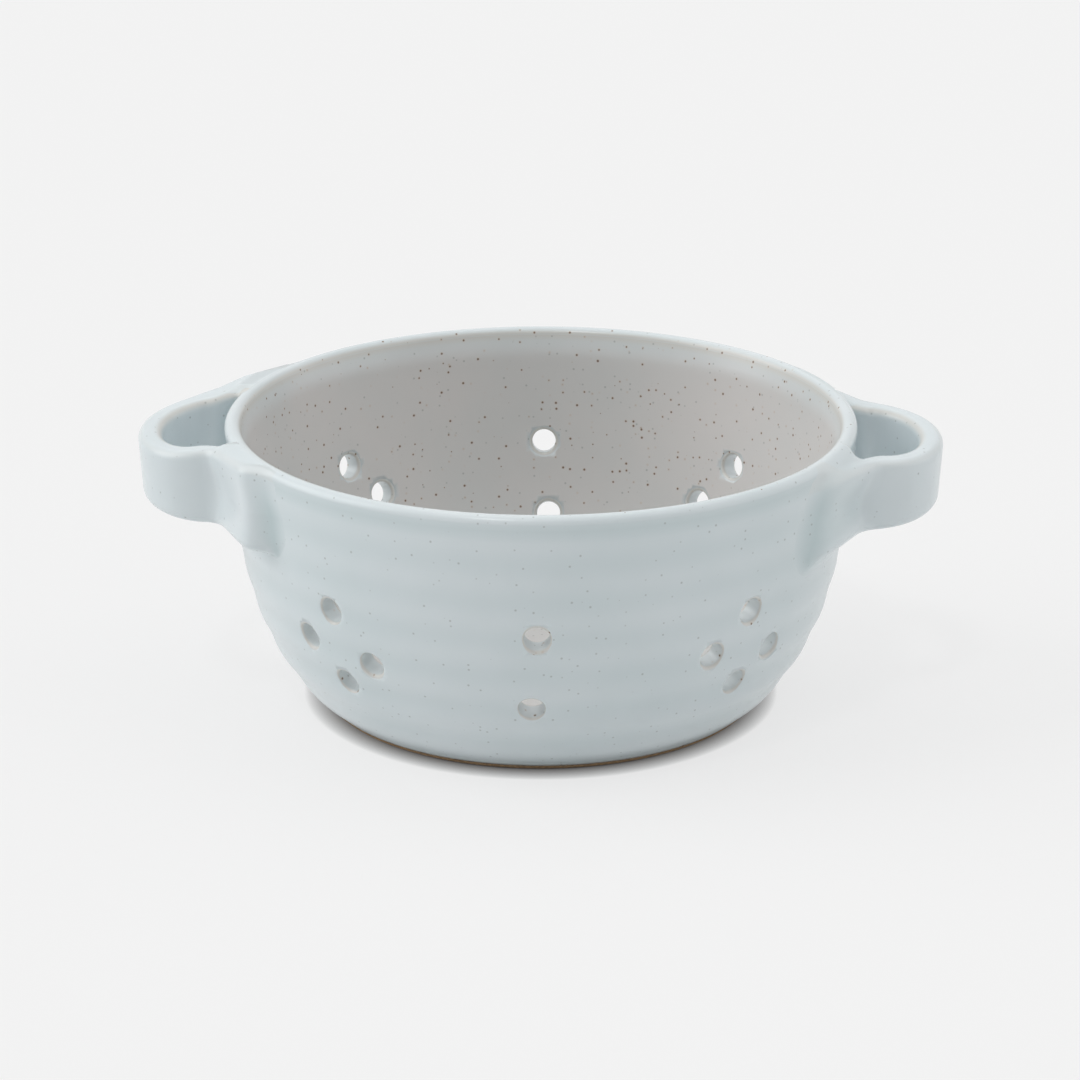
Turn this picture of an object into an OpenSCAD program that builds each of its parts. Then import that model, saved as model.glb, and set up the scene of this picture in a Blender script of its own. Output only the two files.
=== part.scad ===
// Berry colander bowl: a small thrown stoneware bowl with drain holes and two strap handles.
// Millimetres. The origin is on the table under the middle of the bowl, +Z is up,
// the handles lie along X and the front of the bowl faces -Y.

/* [Bowl] */
// Diameter of the bowl just under its rounded rim
rim_d = 140; // [120:1:170]
// Height from the table to the top of the rim
bowl_h = 65; // [60:1:80]
// Diameter of the foot where it meets the table
foot_d = 96; // [80:1:104]
// Height within which the low wall swells out and turns upright
belly_h = 17; // [13:0.5:22]
// Thickness of the wall near the foot
wall_t = 4.6; // [3.6:0.1:6]
// Thickness of the rim, which is fully rounded
rim_t = 3.6; // [3:0.1:4.6]
// How far the inner face slopes in below the rim
lip_slope = 0.8; // [0:0.1:1.2]
// Depth below the rim over which it slopes in
lip_slope_h = 4.4; // [3:0.1:6]
// Thickness of the floor
floor_t = 5; // [4:0.1:7]
// Radius inside the bowl between floor and wall
floor_round = 10; // [7:0.5:14]

/* [Throwing rings] */
// Rings left by the fingers between the foot and the lip
ring_count = 7; // [5:1:9]
// How far a ring stands out of the wall
ring_swell = 0.25; // [0.1:0.05:0.6]

/* [Foot] */
// Width of the foot ring
foot_w = 7; // [5:0.5:10]
// Height of the hollow turned under the floor
recess_h = 3; // [2.4:0.1:4]
// Height of the bare clay band that the glaze stops above
bare_h = 1.4; // [1:0.1:2]
// Softened edge of the foot and of its hollow
foot_edge = 0.5; // [0.2:0.1:0.8]

/* [Drain holes] */
// Diameter of every drain hole
hole_d = 5.6; // [4:0.1:6.4]
// How far each mouth is softened
hole_edge = 0.6; // [0.3:0.1:0.9]
// Height of the highest hole of a group
top_hole_z = 37.2; // [34:0.5:40]
// Height of the two side holes of a diamond
side_hole_z = 27.5; // [26:0.5:30]
// Height of the lowest hole of a group
low_hole_z = 19.7; // [18:0.1:22]
// Height by which the left side hole of a diamond stands above the right one
diamond_lean = 2.2; // [0:0.1:3]
// Width of a diamond between the middles of its side holes
diamond_w = 17.8; // [14:0.1:22]
// Angle from the front of the bowl to the upper hole of the front pair
pair_angle = -0.7; // [-4:0.1:4]
// How far round the lower hole of a pair strays from the upper one
pair_stray = -1.1; // [-4:0.1:4]
// Angle from the front of the bowl to each front diamond
front_diamond_angle = 41.5; // [36:0.5:46]
// Angle from the front of the bowl to each rear diamond
rear_diamond_angle = 134; // [130:0.5:140]
// Holes in the ring through the floor, around the middle one
floor_holes = 6; // [4:1:8]
// Radius of that ring
floor_hole_r = 20; // [14:0.5:28]

/* [Handles] */
// How far a handle stands out from the rim
handle_reach = 19.7; // [18:0.1:24]
// Width of the finger loop inside a handle
loop_w = 32; // [26:0.5:36]
// Length over which the end of the loop is rounded, along X
loop_end = 15.4; // [12:0.1:17]
// Thickness of the pulled strap
strap_t = 5.8; // [4.6:0.1:7]
// Height of the strap
strap_h = 15.9; // [12:0.1:17]
// How far the lower edge of the strap rises towards the end of the loop
strap_rise = 0.8; // [0:0.1:2]
// How far the lower edge is tucked in under the upper edge
strap_tuck = 0.8; // [0:0.1:2]
// Radius of the edges of the strap
strap_edge = 2.1; // [1:0.1:2.2]
// Depth of the left strap's far end below the rim
left_strap_drop = 2.8; // [2.7:0.1:6]
// Depth of the right strap's far end below the rim
right_strap_drop = 4.3; // [2.7:0.1:6]
// Height by which the top of the left handle rises from its far end to the wall
left_rise = 2.5; // [0:0.1:2.6]
// Height by which the top of the right handle rises from its far end to the wall
right_rise = 0.8; // [0:0.1:2.6]

/* [Pressed ends] */
// Width over the tips of the left handle's two pressed ends
left_tips_w = 81; // [76:0.2:84]
// Width over the tips of the right handle's two pressed ends
right_tips_w = 78.8; // [76:0.2:84]
// How far out from the rim the front leg of the left handle starts to spread
left_front_start = 1.1; // [0:0.1:8]
// Angle from the X axis at which that leg spreads
left_front_flare = 70.5; // [45:0.5:72]
// How far out from the rim the rear leg of the left handle starts to spread
left_rear_start = 7.6; // [0:0.1:8]
// Angle from the X axis at which that leg spreads
left_rear_flare = 49; // [45:0.5:72]
// How far out from the rim the front leg of the right handle starts to spread
right_front_start = 2.5; // [0:0.1:8]
// Angle from the X axis at which that leg spreads
right_front_flare = 62.5; // [45:0.5:72]
// How far out from the rim the rear leg of the right handle starts to spread
right_rear_start = 4.6; // [0:0.1:8]
// Angle from the X axis at which that leg spreads
right_rear_flare = 58; // [45:0.5:72]
// How far the underside of the left handle runs down where it meets the wall
left_pad_drop = 1.1; // [0.5:0.1:5]
// How far the underside of the right handle runs down where it meets the wall
right_pad_drop = 2.2; // [0.5:0.1:5]
// Distance from the wall over which the underside runs down
pad_reach = 7; // [4:0.5:12]
// Roundness of the hollow corner between strap and pressed end
pad_bend = 4; // [2:0.5:8]
// Roundness of the tip of a pressed end
pad_tip = 3; // [2:0.1:4]

/* [Hidden] */

$fn = 160;
// The revolved wall is closed at this angle from the X axis, where it has no hole
seam_angle = 20;
// Length by which every cut runs past the face that it opens
overrun = 1;
// Space kept between the strap and the wall behind its pressed ends
strap_gap = 0.4;

glaze = "#c3cdd0";
clay = "#7d6a5a";

rim_r = rim_d / 2;
foot_r = foot_d / 2;
recess_r = foot_r - foot_w;
floor_z = recess_h + floor_t;
lip_z = bowl_h - rim_t / 2;

// The wall leans out by this share of its height, over and above the swelling at its foot
lean_share = 0.05;
swell = (rim_r - foot_r - lean_share * lip_z) / (1 - exp(-lip_z / belly_h));

function mix(a, b, t) = a + (b - a) * t;
function fade(z) = exp(-z / belly_h);

// Radius of the smooth outer wall at a height, and how fast it widens there
function wall_r(z) = foot_r + swell * (1 - fade(z)) + lean_share * z;
function wall_slope(z) = swell / belly_h * fade(z) + lean_share;
// Each ring is a low crest between two shallow hollows, and they die out towards the lip
function ring_out(i, z) = ring_swell * (1 - z / bowl_h) * (i % 2 == 0 ? -1 : 1);
// Wall thickness, measured square to the wall, thins from the foot to the rim
function thickness(z) =
    mix(wall_t, rim_t + lip_slope, z / lip_z) - lip_slope * max(0, 1 - (lip_z - z) / lip_slope_h);
function normal_len(z) = norm([1, wall_slope(z)]);

// The point of the inner wall that lies square behind the outer wall at a height
function inside_point(z, depth) = [
    wall_r(z) - depth / normal_len(z),
    z + depth * wall_slope(z) / normal_len(z)
];

// Height on the outer wall behind which the rounded floor corner touches the inner wall,
// found by halving the span between a height below it and one above it
corner_z = floor_z + floor_round;
function corner_height(z) = inside_point(z, thickness(z) + floor_round)[1];
function seat_height(low, high, steps) =
    let (middle = (low + high) / 2)
    steps == 0 ? middle
    : corner_height(middle) < corner_z ? seat_height(middle, high, steps - 1)
    : seat_height(low, middle, steps - 1);
halvings = 24;
seat_z = seat_height(0, corner_z, halvings);
corner_x = inside_point(seat_z, thickness(seat_z) + floor_round)[0];
seat_angle = atan(wall_slope(seat_z));

wall_steps = 2 * ring_count;
lip_steps = 9;
corner_steps = 6;
outer_wall = [for (i = [0 : wall_steps])
    let (z = mix(bare_h, lip_z, i / wall_steps))
    [wall_r(z) + ring_out(i, z), z]];
lip_x = wall_r(lip_z) - rim_t / 2;
lip = [for (i = [1 : lip_steps - 1])
    let (a = 180 * i / lip_steps)
    [lip_x + rim_t / 2 * cos(a), lip_z + rim_t / 2 * sin(a)]];
inner_wall = concat(
    [inside_point(lip_z, thickness(lip_z))],
    [for (i = [0 : ring_count])
        let (z = mix(lip_z - lip_slope_h, seat_z, i / ring_count))
        inside_point(z, thickness(z))]
);
floor_corner = [for (i = [1 : corner_steps])
    let (a = mix(-seat_angle, -90, i / corner_steps))
    [corner_x + floor_round * cos(a), corner_z + floor_round * sin(a)]];

// Full outline of the thrown wall, from the glaze line up, over the lip and down to the floor
bowl_outline = concat(
    outer_wall, lip, inner_wall, floor_corner,
    [[0, floor_z], [0, recess_h],
     [recess_r - foot_edge, recess_h], [recess_r, recess_h - foot_edge], [recess_r, bare_h]]
);

// A drain hole through a wall of the given thickness, along +Z, with softened mouths
module drain_hole(depth) {
    half = depth / 2;
    r = hole_d / 2;
    rotate_extrude()
        polygon([
            [0, -half - overrun], [r + hole_edge + overrun, -half - overrun],
            [r, -half + hole_edge], [r, half - hole_edge],
            [r + hole_edge + overrun, half + overrun], [0, half + overrun]
        ]);
}

// A drain hole square through the wall, at an angle from the front and a height
module side_hole(angle, z) {
    depth = thickness(z);
    middle = inside_point(z, depth / 2);
    rotate([0, 0, angle])
        translate([0, -middle[0], middle[1]])
            rotate([90 + atan(wall_slope(z)), 0, 0])
                drain_hole(depth);
}

module diamond(angle) {
    half_angle = atan(diamond_w / 2 / wall_r(side_hole_z));
    side_hole(angle, top_hole_z);
    side_hole(angle - half_angle, side_hole_z + diamond_lean / 2);
    side_hole(angle + half_angle, side_hole_z - diamond_lean / 2);
    side_hole(angle, low_hole_z);
}

module pair(angle) {
    side_hole(angle + pair_angle, top_hole_z);
    side_hole(angle + pair_angle + pair_stray, low_hole_z);
}

module floor_hole() {
    translate([0, 0, recess_h + floor_t / 2])
        drain_hole(floor_t);
}

module bowl() {
    color(glaze)
        difference() {
            rotate([0, 0, seam_angle])
                rotate_extrude()
                    polygon(bowl_outline);
            for (side = [-1, 1]) {
                diamond(side * front_diamond_angle);
                diamond(side * rear_diamond_angle);
            }
            for (quarter = [0 : 3])
                pair(90 * quarter);
            floor_hole();
            for (i = [0 : floor_holes - 1])
                rotate([0, 0, 360 * i / floor_holes])
                    translate([floor_hole_r, 0, 0])
                        floor_hole();
        }
}

// The bare band that the bowl stands on, turned from the same clay
module foot_ring() {
    color(clay)
        rotate_extrude()
            polygon([
                [recess_r + foot_edge, 0], [foot_r - foot_edge, 0],
                [wall_r(foot_edge), foot_edge],
                outer_wall[0], [recess_r, bare_h], [recess_r, foot_edge]
            ]);
}

// Everything inside the outer face of the bowl, which the handle ends are shaped against.
// It is closed on the Y axis, away from both handles.
module bowl_outside() {
    rotate([0, 0, 90])
        rotate_extrude()
            polygon(concat(
                [[0, bare_h]], outer_wall,
                [for (p = lip) if (p[0] > lip_x) p],
                [[lip_x, bowl_h], [0, bowl_h]]
            ));
}

// A closed skin over rings of points that all run the same way round, with flat ends
module loft(rings) {
    count = len(rings[0]);
    last = len(rings) - 1;
    sides = [for (i = [0 : last - 1], j = [0 : count - 1])
        let (k = (j + 1) % count)
        each [
            [i * count + j, i * count + k, (i + 1) * count + k],
            [i * count + j, (i + 1) * count + k, (i + 1) * count + j]
        ]];
    first_end = [for (j = [count - 1 : -1 : 0]) j];
    last_end = [for (j = [0 : count - 1]) last * count + j];
    polyhedron([for (ring = rings) each ring], concat([first_end, last_end], sides));
}

// The finger loop is two straight legs out of the wall, joined by half an ellipse.
// These are half its width and the length of its rounded end, along the middle of the strap.
path_w = loop_w / 2 + strap_t / 2;
path_end = loop_end - strap_t / 2;
leg_x = rim_r + handle_reach - loop_end;
far_x = leg_x + path_end;
// Where the pressed ends take over from the strap, just clear of the wall
split_x = sqrt(rim_r * rim_r - loop_w * loop_w / 4) + strap_gap;
// The wall under the handles starts this share of the height up
under_handle_share = 0.65;
under_r = wall_r(bowl_h * under_handle_share);
// The legs run on behind the wall at the tips of the pressed ends, where the bowl cuts them off
function root_x(tips_w) = sqrt(under_r * under_r - tips_w * tips_w / 4) - wall_t;

end_steps = 8;
leg_steps = 18;
edge_steps = 4;

// The larger and the smaller of two lengths, rounded over where they cross
function larger(a, b, bend) = (a + b + norm([a - b, bend])) / 2;
function smaller(a, b, bend) = (a + b - norm([a - b, bend])) / 2;

// How far a leg has grown across at a distance from the bowl's middle. A flare is how far out
// from the rim the leg starts to spread and at what angle, and the tips limit its width.
function spread(x, flare, tips_w) =
    let (
        steep = tan(flare[1]),
        start_x = rim_r + flare[0],
        strap_out = loop_w / 2 + strap_t,
        grown = larger(0, steep * (start_x - x), pad_bend)
            - larger(0, steep * (start_x - far_x), pad_bend)
    )
    smaller(strap_out + grown, tips_w / 2, pad_tip) - strap_out;

// The shares that the top has made of its rise and the underside of its way down,
// at a distance from the bowl's middle
function rise_share(x) = pow(min(1, max(0, (far_x - x) / (far_x - under_r))), 2);
function drop_share(r) = pow(max(0, 1 - max(0, r - under_r) / pad_reach), 2);

// A handle's form lists the height of its far end, its rise to the wall, the width over its
// tips, the flares of its legs, the one on the -Y side first, and how far its underside drops.
// This is a rounded upright section of the strap at a place of the path, facing out along a
// direction. The share is 1 at the far end of the loop and 0 on the legs.
function section(place, out, share, form) =
    let (
        flare = place[1] < 0 ? form[3] : form[4],
        w = strap_t + spread(place[0], flare, form[2]),
        h = strap_h,
        rise = form[1] * rise_share(place[0]),
        corners = [
            [w - strap_edge, strap_edge, -90], [w - strap_edge, h - strap_edge, 0],
            [strap_edge, h - strap_edge, 90], [strap_edge, strap_edge, 180]
        ]
    )
    [for (c = corners, i = [0 : edge_steps])
        let (
            a = c[2] + 90 * i / edge_steps,
            up = c[1] + strap_edge * sin(a),
            below = 1 - up / h,
            shift = c[0] + strap_edge * cos(a) - strap_t / 2 - strap_tuck * below,
            x = place[0] + out[0] * shift,
            y = place[1] + out[1] * shift,
            depth = h + rise - strap_rise * share + form[5] * drop_share(norm([x, y]))
        )
        [x, y, form[0] + rise - depth * below]];

function end_section(a, form) =
    let (
        place = [leg_x + path_end * cos(a), path_w * sin(a)],
        steer = [cos(a) / path_end, sin(a) / path_w]
    )
    section(place, steer / norm(steer), cos(a), form);

function leg_section(side, i, form) =
    let (x = mix(leg_x, root_x(form[2]), i / leg_steps))
    section([x, side * path_w], [0, side], 0, form);

function handle_rings(form) = concat(
    [for (i = [leg_steps : -1 : 0]) leg_section(1, i, form)],
    [for (i = [1 : 2 * end_steps - 1]) end_section(90 - 90 * i / end_steps, form)],
    [for (i = [0 : leg_steps]) leg_section(-1, i, form)]
);

// A whole handle, pointing along +X, with its ends shaped to the wall
module handle(form) {
    difference() {
        loft(handle_rings(form));
        bowl_outside();
    }
}

// The part of a handle that points along +X beyond the plane where its pressed ends begin
module strap_of() {
    intersection() {
        children();
        translate([split_x, -rim_r, 0])
            cube([rim_r + handle_reach + overrun - split_x, rim_d, bowl_h]);
    }
}

// The pressed end on one side of a handle that points along +X
module pad_of(side) {
    intersection() {
        children();
        translate([0, side * rim_r / 2 - rim_r / 2, 0])
            cube([split_x, rim_r, bowl_h]);
    }
}

// The left handle is made pointing along +X too, so its front leg lies on the +Y side at first
left_form = [
    bowl_h - left_strap_drop, left_rise, left_tips_w,
    [left_rear_start, left_rear_flare], [left_front_start, left_front_flare], left_pad_drop
];
right_form = [
    bowl_h - right_strap_drop, right_rise, right_tips_w,
    [right_front_start, right_front_flare], [right_rear_start, right_rear_flare], right_pad_drop
];

module left_handle() {
    handle(left_form);
}

module right_handle() {
    handle(right_form);
}

module left_strap() {
    color(glaze)
        rotate([0, 0, 180])
            strap_of() left_handle();
}

module left_front_pad() {
    color(glaze)
        rotate([0, 0, 180])
            pad_of(1) left_handle();
}

module left_rear_pad() {
    color(glaze)
        rotate([0, 0, 180])
            pad_of(-1) left_handle();
}

module right_strap() {
    color(glaze)
        strap_of() right_handle();
}

module right_front_pad() {
    color(glaze)
        pad_of(-1) right_handle();
}

module right_rear_pad() {
    color(glaze)
        pad_of(1) right_handle();
}

bowl();
foot_ring();
left_strap();
left_front_pad();
left_rear_pad();
right_strap();
right_front_pad();
right_rear_pad();
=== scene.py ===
"""A hand-thrown stoneware berry bowl with drain holes and two strap handles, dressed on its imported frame.

Sizes are real ones, in metres, in the frame's own axes: +Z is up, the handles lie along X and the
front of the bowl faces -Y. Comments give lengths in millimetres.
"""

import math

import bmesh
import bpy
import numpy as np
from bpy.props import FloatProperty, FloatVectorProperty, IntProperty, PointerProperty
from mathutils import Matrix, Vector


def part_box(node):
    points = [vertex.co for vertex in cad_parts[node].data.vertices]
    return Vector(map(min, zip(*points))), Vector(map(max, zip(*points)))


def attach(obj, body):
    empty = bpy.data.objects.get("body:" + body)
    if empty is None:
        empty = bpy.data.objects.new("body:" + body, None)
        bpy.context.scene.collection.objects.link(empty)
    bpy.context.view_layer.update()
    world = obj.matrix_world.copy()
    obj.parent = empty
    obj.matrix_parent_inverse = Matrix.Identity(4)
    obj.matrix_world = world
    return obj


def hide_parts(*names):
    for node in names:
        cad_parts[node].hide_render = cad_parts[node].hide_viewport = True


bl_info = {
    "name": "Berry colander bowl",
    "version": (1, 0, 0),
    "blender": (4, 5, 0),
    "location": "3D View > Sidebar > Berry Bowl",
    "description": "Builds a glazed stoneware berry bowl with drain holes and strap handles",
    "category": "Add Mesh",
}

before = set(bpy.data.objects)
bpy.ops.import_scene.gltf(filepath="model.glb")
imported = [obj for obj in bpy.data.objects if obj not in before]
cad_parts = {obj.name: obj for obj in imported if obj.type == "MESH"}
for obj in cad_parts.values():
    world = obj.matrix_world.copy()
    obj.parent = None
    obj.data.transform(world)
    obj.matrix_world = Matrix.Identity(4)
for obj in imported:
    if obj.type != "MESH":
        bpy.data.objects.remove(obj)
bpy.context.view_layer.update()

MM = 0.001
BODY = "root"
# How much of the inner glaze there is where the lip turns in
LIP_INSIDE = 0.2


def linear(code):
    """A hex colour as written on a colour card, as linear values."""
    shares = [int(code[i : i + 2], 16) / 255 for i in (1, 3, 5)]
    return [s / 12.92 if s <= 0.04045 else ((s + 0.055) / 1.055) ** 2.4 for s in shares]


def length(name, description, millimetres):
    """A length that the user sets, with its default in millimetres."""
    return FloatProperty(
        name=name, description=description, default=millimetres * MM,
        min=0.0, subtype="DISTANCE", unit="LENGTH", precision=5,
    )


def angle(name, description, degrees):
    """An angle that the user sets, with its default in degrees."""
    return FloatProperty(
        name=name, description=description, default=math.radians(degrees), subtype="ANGLE",
    )


def colour(name, description, code):
    """A colour that the user sets, with its default as a hex code."""
    return FloatVectorProperty(
        name=name, description=description, default=linear(code), subtype="COLOR", min=0.0, max=1.0,
    )


def rounded(value):
    """A length of the frame to the nearest tenth of a millimetre, in millimetres."""
    return round(value / MM, 1)


bowl_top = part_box("bowl")[1]


class BowlSizes(bpy.types.PropertyGroup):
    """The thrown wall, its lip, its floor and its foot."""

    rim_r: length("Rim Radius", "Radius of the wall just under the lip", round(rounded(bowl_top.x)))
    height: length("Height", "Height of the lip above the table", rounded(bowl_top.z))
    foot_r: length("Foot Radius", "Radius of the foot on the table", 48)
    belly: length("Belly", "Height within which the low wall swells and turns upright", 17)
    wall: length("Wall", "Thickness of the wall near the foot", 4.6)
    lip: length("Lip", "Thickness of the rounded lip", 3.6)
    lip_slope: length("Lip Slope", "How far the inner face slopes in below the lip", 0.8)
    lip_slope_h: length("Lip Slope Depth", "Depth over which it slopes in", 4.4)
    floor: length("Floor", "Thickness of the floor", 5)
    floor_round: length("Floor Round", "Radius inside between floor and wall", 10)
    recess_r: length("Recess Radius", "Radius of the hollow turned under the floor", 41)
    recess: length("Recess", "Height of the hollow under the floor", 3)
    bare: length("Bare Band", "Height of the bare clay that the bowl stands on", 1.4)
    soft: length("Soft Edge", "Softened edge of the foot and of its hollow", 0.5)
    rings: IntProperty(name="Rings", description="Throwing rings up the wall", default=7, min=0)
    swell: length("Ring Swell", "How far a ring stands out low on the wall", 0.25)
    uneven: length("Unevenness", "How far the hand strays between the rings", 0.2)
    neck: length("Neck", "Depth of the soft hollow under the lip", 0.16)


class HoleSizes(bpy.types.PropertyGroup):
    """The drain holes: pairs, diamonds and the ring in the floor."""

    across: length("Diameter", "Diameter of every drain hole", 5.6)
    mouth: length("Mouth", "Radius of the softened mouth", 0.8)
    top_z: length("Top Height", "Height of the highest hole of a group", 37.2)
    side_z: length("Side Height", "Height of the side holes of a diamond", 27.5)
    low_z: length("Low Height", "Height of the lowest hole of a group", 19.7)
    lean: length("Lean", "How much higher the left side hole of a diamond is", 2.2)
    width: length("Diamond Width", "Width between the side holes of a diamond", 17.8)
    pair: angle("Pair Angle", "Angle of a pair's upper hole from its quarter", -0.7)
    stray: angle("Pair Stray", "How far round a pair's lower hole strays", -1.1)
    front: angle("Front Diamonds", "Angle of the front diamonds from the front", 41.5)
    rear: angle("Rear Diamonds", "Angle of the rear diamonds from the front", 134)
    floor_count: IntProperty(name="Floor Holes", description="Holes round the middle one", default=6)
    floor_r: length("Floor Ring", "Radius of the ring of floor holes", 20)


class HandleSizes(bpy.types.PropertyGroup):
    """The pulled straps and their pressed ends."""

    reach: length("Reach", "How far a handle stands out from the rim", 19.7)
    loop: length("Loop", "Width of the finger loop", 32)
    loop_end: length("Loop End", "Length of the rounded end of the loop", 15.4)
    strap: length("Strap", "Thickness of the strap", 5.8)
    tall: length("Strap Height", "Height of the strap", 15.9)
    rise: length("Strap Rise", "Rise of the lower edge towards the end", 0.8)
    tuck: length("Strap Tuck", "How far the lower edge is tucked in", 0.8)
    edge: length("Strap Edge", "Radius of the strap's edges", 2.1)
    bend: length("Bend", "Roundness of the corner between strap and end", 4)
    tip: length("Tip", "Roundness of the tip of an end", 5)
    sink_reach: length("Underside Reach", "Distance over which the underside runs down", 7)
    soft_loop: length("Loop Joint", "Softness of the joint inside the loop at the front", 0.9)
    soft_loop_far: length("Far Loop Joint", "Softness of the joint inside the loop at the back", 4.5)
    slant: length("Tip Slant", "How much narrower the ends are at the top than below", 3)
    loop_flare: length("Loop Flare", "How much wider the loop is on each side at the wall", 4)


# Sizes that each handle has of its own, with the default of the left one and of the right one
OWN_SIZES = (
    ("drop", length, "Drop", "Depth of the strap's far end below the rim", 2.8, 4.3),
    ("rise", length, "Rise", "Rise of the top from its far end to the wall", 2.6, 0.8),
    ("tips", length, "Tips", "Width over the tips of the ends", 81, 78.8),
    ("sink", length, "Underside", "How far the underside runs down at the wall", 1.1, 2.2),
    ("front", length, "Front Start", "Distance from the rim where the front leg spreads", 1.1, 2.5),
    ("front_flare", angle, "Front Flare", "Angle at which the front leg spreads", 70.5, 62.5),
    ("rear", length, "Rear Start", "Distance from the rim where the rear leg spreads", 7.6, 4.6),
    ("rear_flare", angle, "Rear Flare", "Angle at which the rear leg spreads", 49, 58),
    ("soft", length, "Joint", "Softness of the joint along the sides of the ends", 3.6, 5.2),
    ("soft_top", length, "Top Joint", "Softness of the joint above the ends", 4.5, 5),
    ("soft_under", length, "Underside Joint", "Softness of the joint under the ends", 1, 3),
    ("thumb", length, "Thumb", "How far a thumb has pressed the ends in", 1.4, 3.2),
)
HandleSizes.__annotations__.update({
    f"{word}_{key}": kind(f"{word.title()} {name}", description, defaults[side])
    for key, kind, name, description, *defaults in OWN_SIZES
    for side, word in enumerate(("left", "right"))
})


class Finish(bpy.types.PropertyGroup):
    """Colours of the glaze, the clay and the stage."""

    glaze: colour("Glaze", "Satin glaze on the outside", "#d8e0e3")
    # The inner glaze's warm grey is partly the glaze's own colour and partly painted warm reflection: the
    # glow that berries in the bowl would throw onto its inside
    inner: colour("Inner Glaze", "The same glaze inside, where it lies thinner", "#d6d3d1")
    # The pooled tint darkens grooves, hollows and joints, partly as glaze gathered there and partly as
    # painted shade; it also tints the random clouds of thicker glaze
    pooled: colour("Pooled Glaze", "Glaze where it gathers in a hollow", "#b1c4c6")
    thin: colour("Thin Glaze", "Clay that shows through on an edge", "#c9b8a2")
    speck: colour("Speck", "Iron speck", "#5b4433")
    faint: colour("Faint Speck", "Speck that lies deep in the glaze", "#8a8f8c")
    ochre: colour("Ochre", "Rust round a speck", "#b98c52")
    clay: colour("Clay", "Bare fired clay", "#b39472")
    floor: colour("Table", "Pale table and background", "#f2f2f2")


def add(tree, kind, inputs=None, **settings):
    """Adds a node, sets its settings, and gives each input a value or another node's socket."""
    node = tree.nodes.new(kind)
    for name, value in settings.items():
        setattr(node, name, value)
    for key, value in (inputs or {}).items():
        if isinstance(value, bpy.types.NodeSocket):
            tree.links.new(value, node.inputs[key])
        else:
            node.inputs[key].default_value = value
    return node


def maths(tree, operation, *values):
    """Socket of one step of arithmetic."""
    return add(tree, "ShaderNodeMath", dict(enumerate(values)), operation=operation).outputs[0]


def ramp(tree, value, low, high, start=0.0, end=1.0, kind="LINEAR"):
    """Socket that runs from start to end, and no further, as a value runs from low to high."""
    return add(tree, "ShaderNodeMapRange", {
        "Value": value, "From Min": low, "From Max": high, "To Min": start, "To Max": end,
    }, interpolation_type=kind).outputs[0]


def placed(name, data):
    """A new object in the scene."""
    thing = bpy.data.objects.new(name, data)
    bpy.context.scene.collection.objects.link(thing)
    return thing


def new_mesh(name, points, faces=()):
    """A mesh of points, with faces or without."""
    mesh = bpy.data.meshes.new(name)
    mesh.from_pydata(points, [], faces)
    return mesh


def keep_with_points(mesh, label, values):
    """Keeps a number or a vector with each point of a mesh."""
    values = np.ascontiguousarray(values, np.float32)
    kind, key = ("FLOAT", "value") if values.ndim == 1 else ("FLOAT_VECTOR", "vector")
    mesh.attributes.new(label, kind, "POINT").data.foreach_set(key, values.ravel())


def sizes():
    """The sizes and colours that the user has set."""
    return bpy.context.scene.berry_bowl_sizes


def lip_middle(bowl):
    """Height of the middle of the rounded lip."""
    return bowl.height - bowl.lip / 2


def wall_radius(bowl, z):
    """Radius of the smooth outer wall: it swells out of the foot and then leans out slightly."""
    lean_share = 0.05
    lip_z = lip_middle(bowl)
    full = 1 - math.exp(-lip_z / bowl.belly)
    swell = (bowl.rim_r - bowl.foot_r - lean_share * lip_z) / full
    return bowl.foot_r + swell * (1 - np.exp(-z / bowl.belly)) + lean_share * z


def wall_facing(bowl, z):
    """Outward direction of the wall at a height, across and up."""
    step = 0.01 * MM
    slope = (wall_radius(bowl, z + step) - wall_radius(bowl, z - step)) / (2 * step)
    return np.stack([np.ones_like(slope), -slope], -1) / np.hypot(1, slope)[..., None]


def wall_thickness(bowl, z):
    """Thickness square to the wall, which thins upwards and slopes away at the lip."""
    lip_z = lip_middle(bowl)
    plain = bowl.wall + (bowl.lip + bowl.lip_slope - bowl.wall) * z / lip_z
    return plain - bowl.lip_slope * np.maximum(0, 1 - (lip_z - z) / bowl.lip_slope_h)


def behind_wall(bowl, z, depth):
    """The point that lies square behind the outer wall at a height."""
    return np.stack([wall_radius(bowl, z), z], -1) - depth * wall_facing(bowl, z)


def ring_wave(bowl, z):
    """The throwing rings as a wave up the wall: 1 in a groove and -1 on a ring."""
    lip_z = lip_middle(bowl)
    return np.cos(2 * math.pi * bowl.rings * (z - bowl.bare) / (lip_z - bowl.bare))


def neck_share(bowl, z):
    """The soft hollow under the lip, as a share of its depth."""
    neck_z = bowl.height - 3.6 * MM
    neck_width = 1.3 * MM
    return np.exp(-(((z - neck_z) / neck_width) ** 2))


def ring_out(bowl, z):
    """Throwing rings, which die out towards the lip, and the soft hollow under it."""
    return -bowl.swell * (1 - z / bowl.height) * ring_wave(bowl, z) - bowl.neck * neck_share(bowl, z)


def groove(bowl, z):
    """How far the grooves between the rings and the hollow under the lip are darkened: partly glaze pooled
    there, partly painted shade.
    """
    in_rings, in_neck = 0.12, 0.4
    return in_rings * (1 + ring_wave(bowl, z)) + in_neck * neck_share(bowl, z)


def between(start, end, spacing):
    """Even steps from one value to another, both included."""
    return np.linspace(start, end, max(2, round(abs(end - start) / spacing) + 1))


def arc(centre, radius, start, end, steps):
    """Points of an arc, with its angles in degrees."""
    turn = np.radians(np.linspace(start, end, steps + 1))
    return np.stack([centre[0] + radius * np.cos(turn), centre[1] + radius * np.sin(turn)], -1)


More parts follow.
